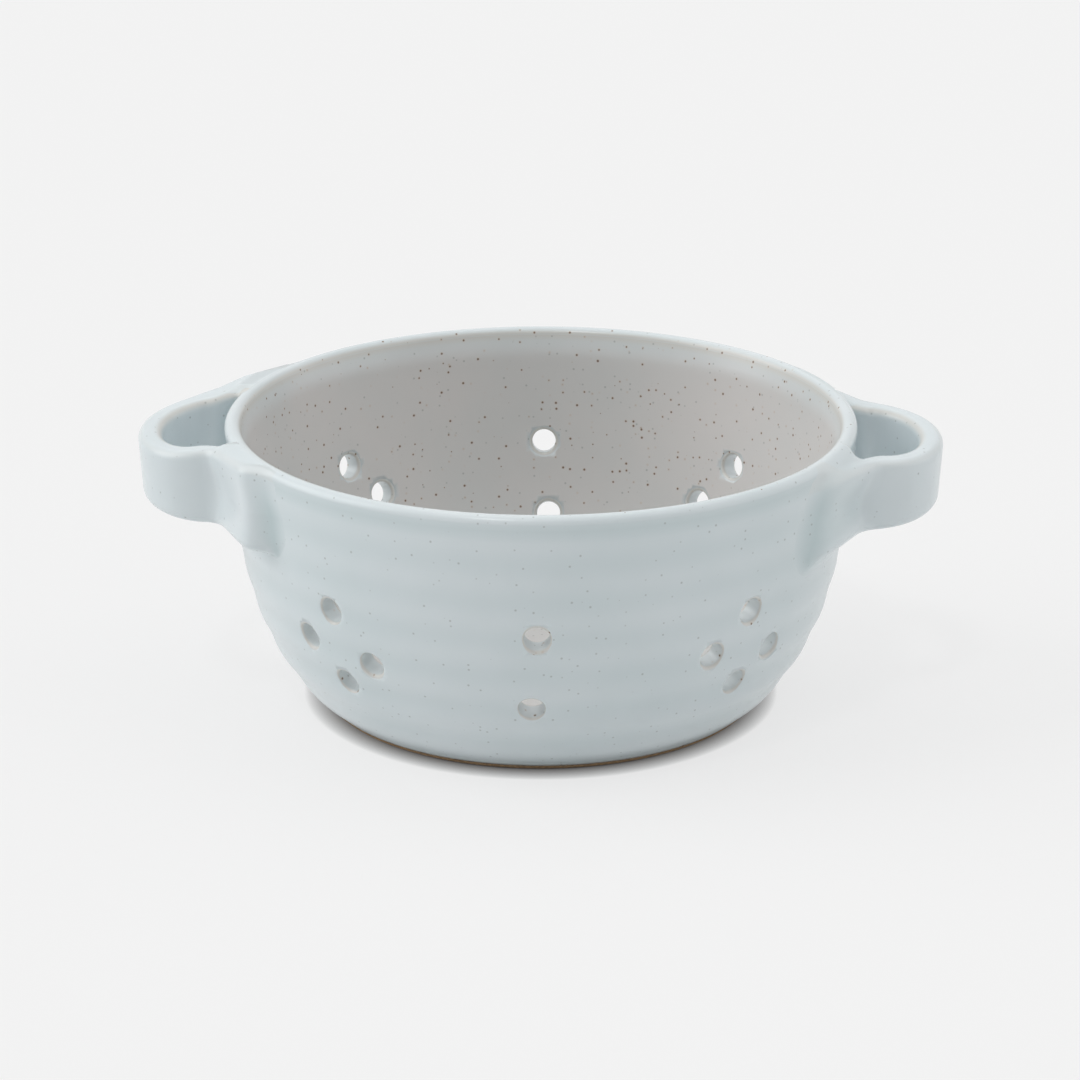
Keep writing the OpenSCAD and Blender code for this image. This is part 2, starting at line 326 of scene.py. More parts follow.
def floor_corner(bowl):
    """Height on the wall behind which the rounded floor corner starts, and the corner's centre."""
    corner_z = bowl.recess + bowl.floor + bowl.floor_round
    tries = 4000
    heights = np.linspace(0, corner_z, tries)
    depth = wall_thickness(bowl, heights) + bowl.floor_round
    centres = behind_wall(bowl, heights, depth[:, None])
    best = np.argmin(np.abs(centres[:, 1] - corner_z))
    return heights[best], centres[best]


def wall_outline(bowl):
    """Outline of the thrown clay from the axis under the floor, over the lip, to the axis above it.

    Each point has marks: its share of pooled glaze and painted shade, of the inside and of thin glaze.
    """
    grain = 1.3 * MM
    lip_z = lip_middle(bowl)
    floor_z = bowl.recess + bowl.floor
    seat_z, centre = floor_corner(bowl)
    seat_turn = math.degrees(math.atan2(*wall_facing(bowl, seat_z)[::-1]))

    under = [(r, bowl.recess) for r in between(0, bowl.recess_r - bowl.soft, grain)]
    shoulder = arc((bowl.recess_r - bowl.soft, bowl.recess - bowl.soft), bowl.soft, 90, 0, 4)[1:]
    edge = bowl.soft / 2
    start_z = bowl.bare + edge
    z = between(start_z, lip_z, grain)
    foot_out = wall_radius(bowl, start_z) + ring_out(bowl, start_z)
    ledge = [(r, bowl.bare) for r in between(bowl.recess_r, foot_out - edge, grain)]
    outer = np.stack([wall_radius(bowl, z), z], -1) + ring_out(bowl, z)[:, None] * wall_facing(bowl, z)
    lip = arc((wall_radius(bowl, lip_z) - bowl.lip / 2, lip_z), bowl.lip / 2, 0, 180, 16)[1:-1]
    z_in = between(lip_z, seat_z, grain)
    inner = behind_wall(bowl, z_in, wall_thickness(bowl, z_in)[:, None])
    corner = arc(centre, bowl.floor_round, seat_turn, -90, 12)[1:]
    top = [(r, floor_z) for r in between(centre[0], 0, grain)[1:]]

    # The thicker glaze of the outside runs over the lip and a little way down inside it; below that the
    # inner glaze sets in, whose warm grey is partly painted warm reflection
    run = 6 * MM
    over = np.linspace(0, 1, len(lip) + 2)[1:-1]
    within = LIP_INSIDE + (1 - LIP_INSIDE) * ease((lip_z - z_in) / run)
    # It is thinnest just before the lip turns down inside
    thinnest, narrow, fade = 0.86, 0.1, 0.8
    thin_lip = np.exp(-(((over - thinnest) / narrow) ** 2))
    # Each run of points, with its share of pooled glaze and painted shade, of the inside and of thin glaze
    groups = (
        (under, 0.0, 1.0, 0.0),
        (shoulder, 0.0, 1.0, 0.6),
        (ledge, 0.0, 1.0, 0.3),
        (outer, groove(bowl, z), 0.0, 0.0),
        (lip, 0.0, LIP_INSIDE * over, thin_lip),
        (inner, 0.0, within, np.exp(-(np.arange(len(inner)) / fade))),
        (corner, 0.0, 1.0, 0.0),
        (top, 0.0, 1.0, 0.0),
    )
    points = np.concatenate([np.asarray(g[0], float).reshape(-1, 2) for g in groups])
    marks = np.concatenate([
        np.stack([np.broadcast_to(share, len(g[0])) for share in g[1:]], -1) for g in groups
    ])
    return points, marks


def outline_object(name, points, marks):
    """A row of points in the XZ plane that carries its marks and the way that each one faces."""
    mesh = new_mesh(name, [(r, 0, z) for r, z in points])
    along = np.gradient(points, axis=0)
    facing = np.stack([along[:, 1], np.zeros(len(points)), -along[:, 0]], -1)
    facing /= np.linalg.norm(facing, axis=1)[:, None]
    keep_with_points(mesh, "marks", marks)
    keep_with_points(mesh, "facing", facing)
    return placed(name, mesh)


def new_tree(name, sockets):
    """An empty geometry tree with named inputs, and the sockets of what it is given."""
    tree = bpy.data.node_groups.new(name, "GeometryNodeTree")
    tree.interface.new_socket("Geometry", in_out="INPUT", socket_type="NodeSocketGeometry")
    for label, kind in sockets:
        tree.interface.new_socket(label, in_out="INPUT", socket_type=kind)
    tree.interface.new_socket("Geometry", in_out="OUTPUT", socket_type="NodeSocketGeometry")
    return tree, add(tree, "NodeGroupInput").outputs


def finished(tree, shape, material):
    """Shades a tree's shape smooth, makes it real, gives it its material and puts it out."""
    smooth = add(tree, "GeometryNodeSetShadeSmooth", {"Geometry": shape})
    real = add(tree, "GeometryNodeRealizeInstances", {"Geometry": smooth.outputs[0]})
    painted = add(tree, "GeometryNodeSetMaterial", {"Geometry": real.outputs[0], "Material": material})
    add(tree, "NodeGroupOutput", {"Geometry": painted.outputs[0]})
    return tree


def vector_of_points(tree, name):
    """Socket of a vector that is kept with each point."""
    return add(
        tree, "GeometryNodeInputNamedAttribute", {"Name": name}, data_type="FLOAT_VECTOR"
    ).outputs["Attribute"]


def spun_tree():
    """Spins an outline round the axis, and lets the hand stray a little as it turns."""
    tree, given = new_tree("spun clay", [
        ("Steps Round", "NodeSocketInt"), ("Unevenness", "NodeSocketFloat"),
        ("Streak", "NodeSocketFloat"), ("Seed", "NodeSocketFloat"), ("Material", "NodeSocketMaterial"),
    ])
    steps = given["Steps Round"]
    count = add(tree, "GeometryNodeAttributeDomainSize", {"Geometry": given["Geometry"]}, component="MESH")
    columns = maths(tree, "ADD", steps, 1.0)
    grid = add(tree, "GeometryNodeMeshGrid", {
        "Vertices X": count.outputs["Point Count"], "Vertices Y": columns,
    })
    index = add(tree, "GeometryNodeInputIndex").outputs[0]
    place = maths(tree, "FLOOR", maths(tree, "DIVIDE", index, columns))
    share = maths(tree, "DIVIDE", maths(tree, "MODULO", index, columns), steps)
    turn = maths(tree, "MULTIPLY", share, 2 * math.pi)

    spun = {
        "position": add(tree, "GeometryNodeInputPosition").outputs[0],
        "facing": vector_of_points(tree, "facing"),
        "marks": vector_of_points(tree, "marks"),
    }
    for label, value in spun.items():
        spun[label] = add(tree, "GeometryNodeSampleIndex", {
            "Geometry": given["Geometry"], "Value": value, "Index": place,
        }, data_type="FLOAT_VECTOR", domain="POINT").outputs[0]
    for label in ("position", "facing"):
        spun[label] = add(
            tree, "ShaderNodeVectorRotate", {"Vector": spun[label], "Angle": turn}, rotation_type="Z_AXIS"
        ).outputs[0]

    # The hand's marks run round the pot, so the noise is stretched that way
    squeeze = 0.18
    stretched = add(
        tree, "ShaderNodeVectorMath", {0: spun["position"], 1: (squeeze, squeeze, 1.0)},
        operation="MULTIPLY",
    )
    noise = add(tree, "ShaderNodeTexNoise", {
        "Vector": stretched.outputs[0], "Scale": given["Streak"], "W": given["Seed"], "Detail": 1.0,
    }, noise_dimensions="4D")
    centred = maths(tree, "SUBTRACT", noise.outputs[0], 0.5)
    marks = add(tree, "ShaderNodeSeparateXYZ", {0: spun["marks"]}).outputs
    # Only the outer face strays, and evens out from 32 to 42 mm up, below the handles
    height = add(tree, "ShaderNodeSeparateXYZ", {0: spun["position"]}).outputs[2]
    low = ramp(tree, height, 42 * MM, 32 * MM)
    outside = maths(tree, "SUBTRACT", 1.0, marks[1])
    strayed = maths(tree, "MULTIPLY", centred, maths(tree, "MULTIPLY", low, outside))
    out = maths(tree, "MULTIPLY", maths(tree, "MULTIPLY", strayed, 2.0), given["Unevenness"])
    offset = add(tree, "ShaderNodeVectorMath", {0: spun["facing"], "Scale": out}, operation="SCALE")
    final = add(tree, "ShaderNodeVectorMath", {0: spun["position"], 1: offset.outputs[0]}, operation="ADD")
    shape = grid.outputs["Mesh"]
    for label, value in zip(("pool", "inside", "thin"), marks):
        shape = add(tree, "GeometryNodeStoreNamedAttribute", {
            "Geometry": shape, "Name": label, "Value": value,
        }, data_type="FLOAT", domain="POINT").outputs[0]
    moved = add(tree, "GeometryNodeSetPosition", {"Geometry": shape, "Position": final.outputs[0]})
    closed = add(
        tree, "GeometryNodeMergeByDistance", {"Geometry": moved.outputs[0], "Distance": 0.002 * MM}
    )
    outward = add(tree, "GeometryNodeFlipFaces", {"Mesh": closed.outputs[0]})
    return finished(tree, outward.outputs[0], given["Material"])


def perforated_tree():
    """Sets a punch square to the clay at every marked place, and cuts the drain holes with it."""
    tree, given = new_tree("drain holes", [
        ("Places", "NodeSocketObject"), ("Punch", "NodeSocketObject"), ("Material", "NodeSocketMaterial"),
    ])
    places = add(tree, "GeometryNodeObjectInfo", {"Object": given["Places"]})
    punch = add(tree, "GeometryNodeObjectInfo", {"Object": given["Punch"]})
    axis = vector_of_points(tree, "axis")
    square = add(tree, "FunctionNodeAlignRotationToVector", {"Vector": axis}, axis="Z")
    punches = add(tree, "GeometryNodeInstanceOnPoints", {
        "Points": places.outputs["Geometry"], "Instance": punch.outputs["Geometry"],
        "Rotation": square.outputs[0], "Scale": vector_of_points(tree, "stretch"),
    })
    tools = add(tree, "GeometryNodeRealizeInstances", {"Geometry": punches.outputs[0]})
    cut = add(tree, "GeometryNodeMeshBoolean", operation="DIFFERENCE", solver="MANIFOLD")
    tree.links.new(given["Geometry"], cut.inputs["Mesh 1"])
    tree.links.new(tools.outputs[0], cut.inputs["Mesh 2"])
    return finished(tree, cut.outputs[0], given["Material"])


def grown(source, tree, values, name):
    """The plain mesh object that a tree grows from another object, which is then removed."""
    modifier = source.modifiers.new(tree.name, "NODES")
    modifier.node_group = tree
    for item in tree.interface.items_tree:
        if item.in_out == "INPUT" and item.name in values:
            modifier[item.identifier] = values[item.name]
    graph = bpy.context.evaluated_depsgraph_get()
    mesh = bpy.data.meshes.new_from_object(source.evaluated_get(graph))
    mesh.name = name
    bpy.data.objects.remove(source)
    if not mesh.polygons:
        raise RuntimeError(f"{name} grew no faces")
    return placed(name, mesh)


def turned(name, outline, steps, material, uneven=0.0, streak=1.0, seed=0.0):
    """The piece that an outline with its marks makes when it is spun round the axis."""
    tree = bpy.data.node_groups.get("spun clay") or spun_tree()
    return grown(outline_object(f"{name} outline", *outline), tree, {
        "Steps Round": steps, "Unevenness": uneven, "Streak": streak, "Seed": seed, "Material": material,
    }, name)


def hole_places(bowl, holes):
    """Middle, direction and depth of every drain hole."""
    places = []

    def through_wall(turn, z):
        depth = wall_thickness(bowl, z)
        r, up = behind_wall(bowl, z, depth / 2)
        across, rise = wall_facing(bowl, z)
        outward = np.array([math.sin(turn), -math.cos(turn)])
        places.append(((*(r * outward), up), (*(across * outward), rise), depth))

    for side in (-1, 1):
        for turn in (side * holes.front, side * holes.rear):
            half = math.atan(holes.width / 2 / wall_radius(bowl, holes.side_z))
            through_wall(turn, holes.top_z)
            through_wall(turn - half, holes.side_z + holes.lean / 2)
            through_wall(turn + half, holes.side_z - holes.lean / 2)
            through_wall(turn, holes.low_z)
    for quarter in range(4):
        turn = quarter * math.pi / 2 + holes.pair
        through_wall(turn, holes.top_z)
        through_wall(turn + holes.stray, holes.low_z)
    middle_z = bowl.recess + bowl.floor / 2
    ring = [2 * math.pi * i / holes.floor_count for i in range(holes.floor_count)]
    for x, y in [(0, 0)] + [(holes.floor_r * math.cos(t), holes.floor_r * math.sin(t)) for t in ring]:
        places.append(((x, y, middle_z), (0, 0, 1), bowl.floor))
    return places


def punch_outline(holes, depth):
    """A punch that widens in a rounded flare at both mouths, with thin glaze on the flare."""
    half = depth / 2
    clear = 2 * MM
    steps = 8
    inner_glaze = 0.3
    wide = holes.across / 2 + holes.mouth
    low = arc((wide, -half + holes.mouth), holes.mouth, -90, -180, steps)
    high = arc((wide, half - holes.mouth), holes.mouth, 180, 90, steps)
    points = np.concatenate([
        [(0, -half - clear), (wide, -half - clear)], low, high, [(wide, half + clear), (0, half + clear)],
    ])
    crest = np.sin(np.linspace(0, math.pi, steps + 1))
    thin = np.concatenate([[0, 0], crest, crest, [0, 0]])
    return points, np.stack([np.zeros(len(points)), np.full(len(points), inner_glaze), thin], -1)


def distance_to_outline(points, outline):
    """Signed distance from points of a plane to a closed outline, negative inside it."""
    nearest = np.full(len(points), np.inf)
    inside = np.zeros(len(points), bool)
    for start, end in zip(outline, np.roll(outline, -1, axis=0)):
        step = end - start
        off = points - start
        share = np.clip(off @ step / (step @ step), 0, 1)
        nearest = np.minimum(nearest, ((off - share[:, None] * step) ** 2).sum(1))
        crossed = (start[1] > points[:, 1]) != (end[1] > points[:, 1])
        if step[1]:
            inside ^= crossed & (off[:, 0] < off[:, 1] * step[0] / step[1])
    return np.where(inside, -1, 1) * np.sqrt(nearest)


def larger(a, b, bend):
    """The larger of two values, with the bend between them rounded."""
    return (a + b + np.hypot(a - b, bend)) / 2


def smaller(a, b, bend):
    """The smaller of two values, with the bend between them rounded."""
    return (a + b - np.hypot(a - b, bend)) / 2


def ease(share):
    """A share that leaves 0 and reaches 1 softly."""
    share = np.clip(share, 0, 1)
    return share * share * (3 - 2 * share)


class Lookup:
    """Signed distance to a closed outline, kept on a fine grid of its plane."""

    def __init__(self, outline, margin, pitch):
        self.pitch = pitch
        self.low = outline.min(0) - margin
        counts = np.ceil((outline.max(0) + margin - self.low) / pitch).astype(int) + 1
        axes = [self.low[i] + pitch * np.arange(counts[i]) for i in range(2)]
        grid = np.stack(np.meshgrid(*axes, indexing="ij"), -1).reshape(-1, 2)
        self.values = distance_to_outline(grid, outline).reshape(counts)

    def __call__(self, points):
        # A place stays just short of the last line, so that there is always a line beyond it
        short = 0.001
        last = np.array(self.values.shape) - 1
        place = np.clip((points - self.low) / self.pitch, 0, last - short)
        (i, j), (a, b) = place.astype(int).T, (place % 1).T
        near = self.values[i, j] * (1 - b) + self.values[i, j + 1] * b
        far = self.values[i + 1, j] * (1 - b) + self.values[i + 1, j + 1] * b
        return near * (1 - a) + far * a


class HandleForm:
    """The soft form of one handle, as a field that is zero on its skin. It points along +X."""

    def __init__(self, bowl, straps, word):
        self.bowl, self.straps = bowl, straps
        self.top = bowl.height - getattr(straps, f"{word}_drop")
        for key in ("rise", "tips", "sink", "soft", "soft_top", "soft_under", "thumb"):
            setattr(self, key, getattr(straps, f"{word}_{key}"))
        # The left handle is turned half round in the end, so its front leg lies at +Y here
        self.front = 1 if word == "left" else -1
        flares = [
            (getattr(straps, f"{word}_{leg}"), getattr(straps, f"{word}_{leg}_flare"))
            for leg in ("front", "rear")
        ]
        self.flares = {self.front: flares[0], -self.front: flares[1]}
        self.path_w = (straps.loop + straps.strap) / 2
        self.path_end = straps.loop_end - straps.strap / 2
        self.leg_x = bowl.rim_r + straps.reach - straps.loop_end
        self.far_x = self.leg_x + self.path_end
        under_share = 0.65
        self.under_r = float(wall_radius(bowl, bowl.height * under_share))
        self.root_x = math.sqrt(self.under_r**2 - self.tips**2 / 4) - bowl.wall
        gap = 0.4 * MM
        self.split_x = math.sqrt(bowl.rim_r**2 - straps.loop**2 / 4) + gap
        self.plan = Lookup(self.plan_outline(), margin=self.soft + 5 * MM, pitch=0.2 * MM)
        points, _ = wall_outline(bowl)
        below_handles = 30 * MM
        self.wall = Lookup(points[points[:, 1] > below_handles], margin=8 * MM, pitch=0.1 * MM)

    def spread(self, x, side):
        """How far the leg on one side has grown across as it nears the wall."""
        straps = self.straps
        start, flare = self.flares[side]
        steep = math.tan(flare)
        out = straps.loop / 2 + straps.strap
        start_x = self.bowl.rim_r + start
        grown = larger(0, steep * (start_x - x), straps.bend)
        grown -= larger(0, steep * (start_x - self.far_x), straps.bend)
        return smaller(out + grown, self.tips / 2, straps.tip) - out

    def plan_side(self, side):
        """Outer and inner edge of the half of the plan on one side, from the wall to the far end."""
        straps = self.straps
        leg_points, end_points = 70, 60
        legs = np.linspace(self.root_x, self.leg_x, leg_points)[:-1]
        turn = np.radians(np.linspace(90, 0, end_points))
        place = np.stack([self.leg_x + self.path_end * np.cos(turn), self.path_w * np.sin(turn)], -1)
        out = np.stack([np.cos(turn) / self.path_end, np.sin(turn) / self.path_w], -1)
        out /= np.linalg.norm(out, axis=1)[:, None]
        reach = straps.strap / 2 + self.spread(place[:, 0], side)
        out_leg = np.stack([legs, straps.loop / 2 + straps.strap + self.spread(legs, side)], -1)
        near = np.minimum((self.leg_x - legs) / (self.leg_x - self.split_x), 1) ** 1.5
        in_leg = np.stack([legs, straps.loop / 2 + straps.loop_flare * near], -1)
        outer = np.concatenate([out_leg, place + out * reach[:, None]])
        inner = np.concatenate([in_leg, place - out * straps.strap / 2])
        return outer * [1, side], inner * [1, side]

    def plan_outline(self):
        """The handle seen from above: a loop whose legs spread along the wall."""
        (outer, inner), (far_outer, far_inner) = self.plan_side(1), self.plan_side(-1)
        return np.concatenate([outer, far_outer[-2::-1], far_inner, inner[-2::-1]])

    def parts(self, points):
        """At each point the strap's own field, the wall's, the softness between them and the worn share."""
        straps = self.straps
        x, y, z = points.T
        r = np.hypot(x, y)
        off_middle = np.abs(y)
        share = np.clip((self.far_x - x) / (self.far_x - self.under_r), 0, 1)
        top = self.top + self.rise * share**2
        sunk = np.maximum(0, 1 - np.maximum(0, r - self.under_r) / straps.sink_reach) ** 2
        far = np.clip((x - self.leg_x) / self.path_end, 0, 1)
        bottom = self.top - straps.tall + straps.rise * far - self.sink * sunk
        below = np.clip((top - z) / (top - bottom), 0, 1)
        tuck = straps.tuck * below
        # A thumb has pressed each end in, and half as much along its lower edge
        deepest = 0.6
        outer = ease((off_middle - self.path_w) / (4 * MM))
        press = ease(below / deepest) - 0.5 * ease((below - deepest) / (1 - deepest))
        pressed = self.thumb * outer * press
        # The slant of the tips sets in between 26 and 35 mm from the handle's middle
        slant = straps.slant * np.clip(1 - 2 * below, 0, 1) * ease((off_middle - 26 * MM) / (9 * MM))
        plan = np.stack([
            x + np.maximum(x - self.leg_x, 0) * tuck / self.path_end + pressed,
            y * (1 + (tuck + slant) / np.maximum(off_middle, self.path_w)),
        ], -1)
        side = self.plan(plan) + straps.edge
        level = np.maximum(z - top, bottom - z) + straps.edge
        strap = np.minimum(np.maximum(side, level), 0) - straps.edge
        strap += np.hypot(np.maximum(side, 0), np.maximum(level, 0))
        strap = np.maximum(strap, self.behind(r, z))
        wall = self.wall(np.stack([r, z], -1))
        # The softness changes over this height below the top and above the underside
        change = 5 * MM
        above = self.soft_top + (self.soft - self.soft_top) * ease((top - z) / change)
        along = self.soft_under + (above - self.soft_under) * ease((z - bottom) / change)
        inward = ease((straps.loop / 2 + straps.loop_flare + 2 * MM - off_middle) / (3 * MM))
        loop = np.where(y * self.front > 0, straps.soft_loop, straps.soft_loop_far)
        soft = along + (loop - along) * inward
        # The glaze has run off the upper edges, most of all off the one round the loop
        worn_elsewhere = 0.25
        crest = np.clip(np.maximum(side, 0) * np.maximum(level, 0) * 2 / straps.edge**2, 0, 1) ** 3
        round_loop = np.hypot(np.maximum(x - self.leg_x, 0) / self.path_end, y / self.path_w) < 1
        crest *= np.where(round_loop, 1, worn_elsewhere) * (z > (top + bottom) / 2)
        return strap, wall, soft, crest

    def behind(self, r, z):
        """How far a point lies behind the middle of the wall."""
        low_z = np.minimum(z, lip_middle(self.bowl))
        return wall_radius(self.bowl, low_z) - wall_thickness(self.bowl, low_z) / 2 - r

    def skin(self, points):
        """The blended field of strap and wall, which the visible skin follows. Beyond the joint it dives."""
        sunk = 0.03 * MM
        dive = 0.6
        strap, wall, soft, _ = self.parts(points)
        wall = wall + sunk + dive * np.maximum(strap - soft, 0)
        overlap = np.maximum(soft - np.abs(strap - wall), 0)
        return np.minimum(strap, wall) - overlap**2 / (4 * soft)

    def solid(self, points):
        """The skin closed by a thin flange that lies hidden in the wall."""
        flange = 1.5 * MM
        margin = 0.6 * MM
        strap, wall, soft, _ = self.parts(points)
        hidden = self.behind(np.hypot(points[:, 0], points[:, 1]), points[:, 2])
        over = points[:, 2] - self.bowl.height
        return np.maximum.reduce([self.skin(points), -wall - flange, strap - soft - margin, hidden, over])


def slope_of(field, points, step):
    """Steepest way out of a field at each point."""
    steps = np.eye(3) * step
    return np.stack([(field(points + s) - field(points - s)) / (2 * step) for s in steps], -1)


def net_of(field, low, high, pitch):
    """Points and four-sided faces that lie on the zero of a field, one point to each crossed cell."""
    counts = np.ceil((np.array(high) - low) / pitch).astype(int) + 1
    axes = [low[i] + pitch * np.arange(counts[i]) for i in range(3)]
    grid = np.stack(np.meshgrid(*axes, indexing="ij"), -1)
    values = field(grid.reshape(-1, 3)).reshape(counts)
    inside = values < 0
    cells = counts - 1
    corners = [(i, j, k) for i in (0, 1) for j in (0, 1) for k in (0, 1)]

    def shifted(array, corner):
        return array[tuple(slice(c, c + n) for c, n in zip(corner, cells))]

    filled = sum(shifted(inside, c).astype(np.int8) for c in corners)
    active = (filled > 0) & (filled < 8)
    number = np.full(cells, -1)
    number[active] = np.arange(active.sum())
    total = np.zeros((active.sum(), 3))
    hits = np.zeros(active.sum())
    for start in corners:
        for axis in range(3):
            if start[axis]:
                continue
            end = tuple(c + (i == axis) for i, c in enumerate(start))
            a, b = shifted(values, start)[active], shifted(values, end)[active]
            crossed = (a < 0) != (b < 0)
            share = np.where(crossed, a / np.where(crossed, a - b, 1), 0)
            spot = np.array(start) + share[:, None] * np.eye(3)[axis]
            total += spot * crossed[:, None]
            hits += crossed
    points = low + pitch * (np.argwhere(active) + total / hits[:, None])
    faces = []
    for axis in range(3):
        b, c = (axis + 1) % 3, (axis + 2) % 3
        lower = [slice(1, -1)] * 3
        upper = [slice(1, -1)] * 3
        lower[axis], upper[axis] = slice(0, -1), slice(1, None)
        change = inside[tuple(lower)] != inside[tuple(upper)]
        at = np.argwhere(change) + 1
        at[:, axis] -= 1
        outward = inside[tuple(at.T)]
        ring = []
        for back_b, back_c in ((0, 0), (1, 0), (1, 1), (0, 1)):
            cell = at.copy()
            cell[:, b] -= back_b
            cell[:, c] -= back_c
            ring.append(number[tuple(cell.T)])
        quad = np.stack(ring, -1)
        faces.append(np.where(outward[:, None], quad, quad[:, ::-1]))
    return points, np.concatenate(faces)


def settle(form, points, faces, pitch):
    """Evens out a net and draws each point onto the true skin."""
    step = 0.05 * MM
    least_slope = 0.25
    edges = np.concatenate([faces[:, [i, (i + 1) % 4]] for i in range(4)])
    edges = np.concatenate([edges, edges[:, ::-1]])
    # Each round evens out no more than the one before, and the last only draws points onto the skin
    for relax in (0.5, 0.5, 0.3, 0.0):
        if relax:
            total = np.zeros_like(points)
            count = np.zeros(len(points))
            np.add.at(total, edges[:, 0], points[edges[:, 1]])
            np.add.at(count, edges[:, 0], 1)
            points = points + relax * (total / count[:, None] - points)
        slope = slope_of(form.solid, points, step)
        steep = np.maximum((slope**2).sum(1), least_slope)
        move = -form.solid(points)[:, None] * slope / steep[:, None]
        size = np.linalg.norm(move, axis=1)[:, None]
        points = points + move * np.minimum(1, pitch / np.maximum(size, 1e-12))
    return points


def cut_piece(name, points, faces, planes):
    """The closed part of a net that lies on the near side of each plane."""
    mesh = new_mesh(name, points.tolist(), faces.tolist())
    shape = bmesh.new()
    shape.from_mesh(mesh)
    for spot, away in planes:
        every = shape.verts[:] + shape.edges[:] + shape.faces[:]
        cut = bmesh.ops.bisect_plane(
            shape, geom=every, dist=1e-7, plane_co=spot, plane_no=away, clear_outer=True
        )
        rim = [e for e in cut["geom_cut"] if isinstance(e, bmesh.types.BMEdge)]
        bmesh.ops.holes_fill(shape, edges=rim, sides=0)
    shape.to_mesh(mesh)
    shape.free()
    return placed(name, mesh)


def make_handle(side, word):
    """Strap and pressed ends of one handle. The side is -1 on the left and 1 on the right."""
    chosen = sizes()
    form = HandleForm(chosen.bowl, chosen.straps, word)
    pitch = 0.55 * MM
    room = 4 * MM
    reach_y = form.tips / 2 + form.soft + room
    low = np.array([form.root_x - room, -reach_y, form.top - chosen.straps.tall - form.soft - room])
    high = np.array([form.leg_x + chosen.straps.loop_end + room, reach_y, chosen.bowl.height + room])
    points, faces = net_of(form.solid, low, high, pitch)
    points = settle(form, points, faces, pitch)
    split = (form.split_x, 0, 0)
    planes = {
        "strap": [(split, (-1, 0, 0))],
        "front_pad": [(split, (1, 0, 0)), ((0, 0, 0), (0, side, 0))],
        "rear_pad": [(split, (1, 0, 0)), ((0, 0, 0), (0, -side, 0))],
    }
    for part, cuts in planes.items():
        node = f"{word}_{part}"
        piece = cut_piece(node + "_clay", points, faces, cuts)
        finish_handle_piece(piece, form, side)
        piece.data.materials.append(bpy.data.materials["satin stoneware glaze"])
        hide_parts(node)
        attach(piece, BODY)


def finish_handle_piece(piece, form, side):
    """Marks where the glaze thins and where joints are darkened by pooled glaze and painted shade, turns the
    piece to its side and sets true normals.
    """
    mesh = piece.data
    step = 0.3 * MM
    # Near the lip the glaze runs off a joint, and the joint's pooled glaze and painted shade fade within
    # this height of it
    near_lip = 10 * MM
    spots = np.empty(len(mesh.vertices) * 3)
    mesh.vertices.foreach_get("co", spots)
    spots = spots.reshape(-1, 3)
    strap, wall, soft, crest = form.parts(spots)
    # The crease where strap meets wall is darkened: partly pooled glaze, partly painted shade
    pool = np.clip(1 - np.abs(strap - wall) / soft, 0, 1)
    pool *= ease((form.bowl.height - spots[:, 2]) / near_lip)
    keep_with_points(mesh, "thin", crest * (1 - pool))
    keep_with_points(mesh, "pool", pool)
    keep_with_points(mesh, "inside", np.zeros(len(spots)))
    normals = slope_of(form.skin, spots, step)
    normals /= np.maximum(np.linalg.norm(normals, axis=1)[:, None], 1e-9)
    turn = np.array([side, side, 1])
    mesh.vertices.foreach_set("co", (spots * turn).ravel())
    mesh.polygons.foreach_set("use_smooth", np.ones(len(mesh.polygons), bool))
    mesh.update()
    mesh.normals_split_custom_set_from_vertices((normals * turn).tolist())


def empty_nodes(owner):
    """The emptied node tree of a material or a world."""
    owner.use_nodes = True
    owner.node_tree.nodes.clear()
    return owner.node_tree


def new_material(name):
    """The nodes of a new material, and its shader."""
    tree = empty_nodes(bpy.data.materials.new(name))
    shader = add(tree, "ShaderNodeBsdfPrincipled")
    add(tree, "ShaderNodeOutputMaterial", {"Surface": shader.outputs[0]})
    return tree, shader


def noise(tree, place, across, detail):
    """Socket of a noise with patches about as far across as said."""
    inputs = {"Vector": place, "Scale": 1 / across, "Detail": detail}
    return add(tree, "ShaderNodeTexNoise", inputs).outputs[0]


def roughen(tree, shader, height, depth, strength):
    """Gives a shader's surface small bumps of a height."""
    bump = add(tree, "ShaderNodeBump", {"Strength": strength, "Distance": depth, "Height": height})
    tree.links.new(bump.outputs[0], shader.inputs["Normal"])


def mixed(tree, factor, first, second):
    """Colour socket of a mix of two colours."""
    return add(
        tree, "ShaderNodeMix", {"Factor": factor, "A": first, "B": second}, data_type="RGBA"
    ).outputs["Result"]


